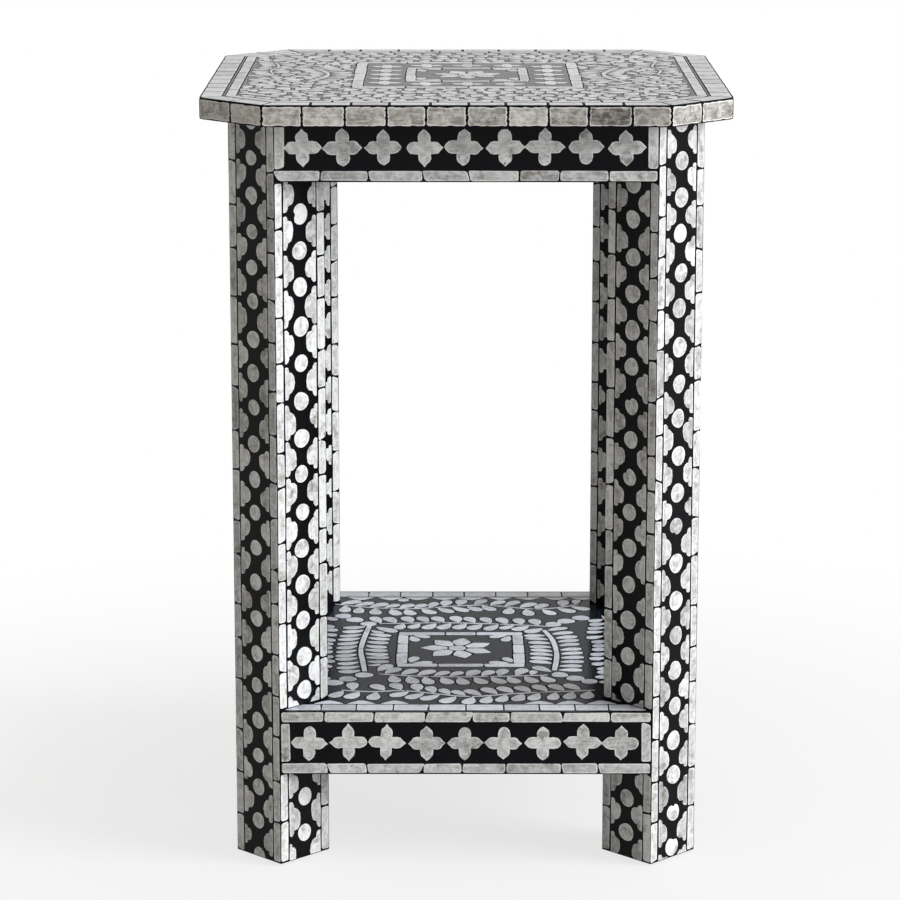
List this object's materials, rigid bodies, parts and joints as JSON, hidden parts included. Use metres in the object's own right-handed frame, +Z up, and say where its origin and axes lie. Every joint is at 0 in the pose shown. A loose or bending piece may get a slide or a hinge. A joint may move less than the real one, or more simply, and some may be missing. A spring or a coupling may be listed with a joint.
{
  "type": "side stool",
  "caption": "Tall square side stool with cut corners, 45-degree turned square legs, aprons and a low shelf, covered in black resin and bone inlay.",
  "frame": {"origin": "on the floor under the middle of the top", "axes": "+Z up, +X to the right, -Y towards the front"},
  "size_m": [0.4, 0.4, 0.595],
  "materials": {
    "wooden_core": "bare sawn hardwood, hidden",
    "painted_wood": "hardwood painted matte black on unseen faces",
    "resin_inlay": "polished black resin set with grey bone pieces",
    "bone_tile": "polished grey and ivory bone tiles with black joints",
    "steel_screw": "zinc plated",
    "nylon_glide": "moulded"
  },
  "bodies": {
    "root": {"front_left_leg_post": "wooden_core", "front_left_leg_inlay": "resin_inlay", "front_left_cleat": "painted_wood", "front_left_top_screw": "steel_screw", "front_left_foot_glide": "nylon_glide", "front_right_leg_post": "wooden_core", "front_right_leg_inlay": "resin_inlay", "front_right_cleat": "painted_wood", "front_right_top_screw": "steel_screw", "front_right_foot_glide": "nylon_glide", "back_right_leg_post": "wooden_core", "back_right_leg_inlay": "resin_inlay", "back_right_cleat": "painted_wood", "back_right_top_screw": "steel_screw", "back_right_foot_glide": "nylon_glide", "back_left_leg_post": "wooden_core", "back_left_leg_inlay": "resin_inlay", "back_left_cleat": "painted_wood", "back_left_top_screw": "steel_screw", "back_left_foot_glide": "nylon_glide", "front_apron_board": "painted_wood", "front_apron_inlay": "resin_inlay", "front_apron_tenon_left": "wooden_core", "front_apron_tenon_right": "wooden_core", "front_rail_board": "painted_wood", "front_rail_inlay": "resin_inlay", "front_rail_tenon_left": "wooden_core", "front_rail_tenon_right": "wooden_core", "right_apron_board": "painted_wood", "right_apron_inlay": "resin_inlay", "right_apron_tenon_left": "wooden_core", "right_apron_tenon_right": "wooden_core", "right_rail_board": "painted_wood", "right_rail_inlay": "resin_inlay", "right_rail_tenon_left": "wooden_core", "right_rail_tenon_right": "wooden_core", "back_apron_board": "painted_wood", "back_apron_inlay": "resin_inlay", "back_apron_tenon_left": "wooden_core", "back_apron_tenon_right": "wooden_core", "back_rail_board": "painted_wood", "back_rail_inlay": "resin_inlay", "back_rail_tenon_left": "wooden_core", "back_rail_tenon_right": "wooden_core", "left_apron_board": "painted_wood", "left_apron_inlay": "resin_inlay", "left_apron_tenon_left": "wooden_core", "left_apron_tenon_right": "wooden_core", "left_rail_board": "painted_wood", "left_rail_inlay": "resin_inlay", "left_rail_tenon_left": "wooden_core", "left_rail_tenon_right": "wooden_core", "shelf_board": "painted_wood", "shelf_inlay": "resin_inlay", "tabletop_board": "painted_wood", "tabletop_edge_tiles": "bone_tile", "tabletop_inlay": "resin_inlay"}
  },
  "joints": []
}
